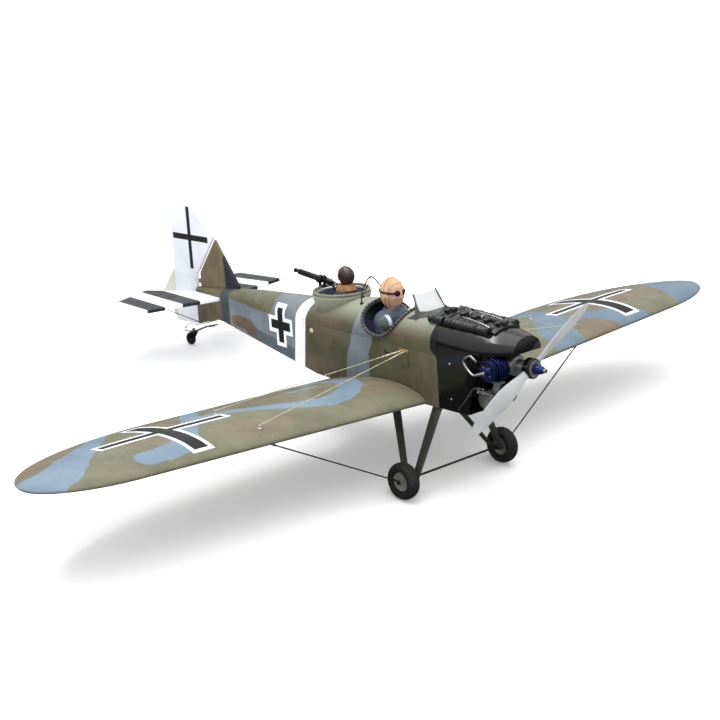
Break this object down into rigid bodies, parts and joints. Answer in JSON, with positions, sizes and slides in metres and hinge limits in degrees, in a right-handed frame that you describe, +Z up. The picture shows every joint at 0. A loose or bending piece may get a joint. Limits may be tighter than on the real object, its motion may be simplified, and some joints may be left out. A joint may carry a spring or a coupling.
{
  "type": "radio controlled model aeroplane",
  "caption": "Large radio-controlled two-seat low-wing monoplane of 1918 pattern with open cockpits, in-line dummy engine and tailwheel gear.",
  "frame": {"origin": "On the ground under the middle of the whole aeroplane, standing on its three wheels.", "axes": "+X towards the nose, level; +Y along the span to the aeroplane's left; +Z up. The fuselage is nose-up in the three-point attitude."},
  "size_m": [1.563, 2.3952, 0.5177],
  "materials": {
    "camouflage_paint": "satin",
    "wing_paint": "satin",
    "white_paint": "satin",
    "black_paint": "gloss",
    "black_metal": "satin",
    "bright_steel": "bright",
    "cast_aluminium": "cast",
    "blue_anodised": "anodised",
    "grey_metal": "dull",
    "propeller_grey": "satin",
    "clear_sheet": "clear",
    "tyre_rubber": "matte",
    "wheel_hub_grey": "satin",
    "plywood": "raw",
    "black_plastic": "moulded",
    "battery_wrap": "shrink wrap",
    "tank_plastic": "translucent",
    "leather_tan": "worn",
    "leather_dark": "worn"
  },
  "bodies": {
    "airframe": {"left_wing": "wing_paint", "right_wing": "wing_paint", "wing_joiner_tube": "cast_aluminium", "left_aileron_servo": "black_plastic", "right_aileron_servo": "black_plastic", "fuselage": "camouflage_paint", "firewall": "plywood", "cowl": "black_paint", "engine_mount": "cast_aluminium", "crankcase": "cast_aluminium", "cylinder_head": "blue_anodised", "ignition_lead": "bright_steel", "muffler": "grey_metal", "dummy_engine_front": "black_metal", "left_stabiliser": "white_paint", "right_stabiliser": "white_paint", "fin": "camouflage_paint", "tail_brace": "bright_steel", "tail_bracket": "black_metal", "axle": "black_metal", "left_front_strut": "camouflage_paint", "left_rear_strut": "camouflage_paint", "left_lower_rod": "black_metal", "right_front_strut": "camouflage_paint", "right_rear_strut": "camouflage_paint", "right_lower_rod": "black_metal", "left_wing_wires": "bright_steel", "right_wing_wires": "bright_steel", "radio_tray": "plywood", "battery_pack": "battery_wrap", "receiver": "black_plastic", "rudder_servo": "black_plastic", "elevator_servo": "black_plastic", "fuel_tank": "tank_plastic"},
    "top_hatch": {"top_hatch": "camouflage_paint", "dummy_engine_rear": "black_metal", "cockpit_coaming": "leather_dark", "cockpit_floor": "plywood", "pilot": "leather_tan", "windscreen": "clear_sheet", "windscreen_frame": "grey_metal", "cockpit_hoop": "black_metal", "gunner": "leather_dark"},
    "gun_ring": {"gun_ring": "black_metal"},
    "machine_gun": {"machine_gun": "black_metal"},
    "propeller": {"propeller": "propeller_grey", "prop_nut": "blue_anodised", "prop_shaft": "bright_steel"},
    "left_aileron": {"left_aileron": "wing_paint"},
    "right_aileron": {"right_aileron": "wing_paint"},
    "left_elevator": {"left_elevator": "white_paint"},
    "right_elevator": {"right_elevator": "white_paint"},
    "rudder": {"rudder": "white_paint", "steering_wire": "bright_steel"},
    "tail_fork": {"tail_fork": "black_metal"},
    "tail_wheel": {"tail_wheel": "tyre_rubber"},
    "left_wheel": {"left_tyre": "tyre_rubber", "left_wheel_hub": "wheel_hub_grey"},
    "right_wheel": {"right_tyre": "tyre_rubber", "right_wheel_hub": "wheel_hub_grey"}
  },
  "joints": [
    {"name": "hatch_lift", "type": "slide", "parent": "airframe", "child": "top_hatch", "axis": [-0.1757, 0, 0.9844], "range_m": [0, 0.12]},
    {"name": "gun_ring_turn", "type": "hinge", "parent": "top_hatch", "child": "gun_ring", "pos_m": [0.03062, 0, 0.38539], "axis": [-0.1757, 0, 0.9844], "range_deg": [-70, 70]},
    {"name": "gun_elevate", "type": "hinge", "parent": "gun_ring", "child": "machine_gun", "pos_m": [-0.05112, 0, 0.38807], "axis": [0, 1, 0], "range_deg": [-8, 30]},
    {"name": "propeller_spin", "type": "hinge", "parent": "airframe", "child": "propeller", "pos_m": [0.73136, 0, 0.39769], "axis": [0.9844, 0, 0.1757], "continuous": true},
    {"name": "left_aileron_hinge", "type": "hinge", "parent": "airframe", "child": "left_aileron", "pos_m": [0.16474, 0.54, 0.20306], "axis": [-0.0559, 0.9979, 0.0325], "range_deg": [-25, 25]},
    {"name": "right_aileron_hinge", "type": "hinge", "parent": "airframe", "child": "right_aileron", "pos_m": [0.16474, -0.54, 0.20306], "axis": [0.0559, 0.9979, -0.0325], "range_deg": [-25, 25]},
    {"name": "left_elevator_hinge", "type": "hinge", "parent": "airframe", "child": "left_elevator", "pos_m": [-0.60545, 0, 0.18147], "axis": [0, 1, 0], "range_deg": [-20, 20]},
    {"name": "right_elevator_hinge", "type": "hinge", "parent": "airframe", "child": "right_elevator", "pos_m": [-0.60545, 0, 0.18147], "axis": [0, 1, 0], "range_deg": [-20, 20]},
    {"name": "rudder_hinge", "type": "hinge", "parent": "airframe", "child": "rudder", "pos_m": [-0.59962, 0, 0.16017], "axis": [-0.1757, 0, 0.9844], "range_deg": [-25, 25]},
    {"name": "tail_wheel_steer", "type": "hinge", "parent": "airframe", "child": "tail_fork", "pos_m": [-0.62628, 0, 0.04774], "axis": [-0.1757, 0, 0.9844], "range_deg": [-54, 54]},
    {"name": "tail_wheel_spin", "type": "hinge", "parent": "tail_fork", "child": "tail_wheel", "pos_m": [-0.63943, 0, 0.01898], "axis": [0, 1, 0], "continuous": true},
    {"name": "left_wheel_spin", "type": "hinge", "parent": "airframe", "child": "left_wheel", "pos_m": [0.50205, 0.184, 0.04898], "axis": [0, 1, 0], "continuous": true},
    {"name": "right_wheel_spin", "type": "hinge", "parent": "airframe", "child": "right_wheel", "pos_m": [0.50205, -0.184, 0.04898], "axis": [0, 1, 0], "continuous": true}
  ],
  "couplings": [
    {"joint": "right_aileron_hinge", "follows": "left_aileron_hinge", "ratio": -1},
    {"joint": "right_elevator_hinge", "follows": "left_elevator_hinge", "ratio": 1},
    {"joint": "tail_wheel_steer", "follows": "rudder_hinge", "ratio": 2.1}
  ]
}
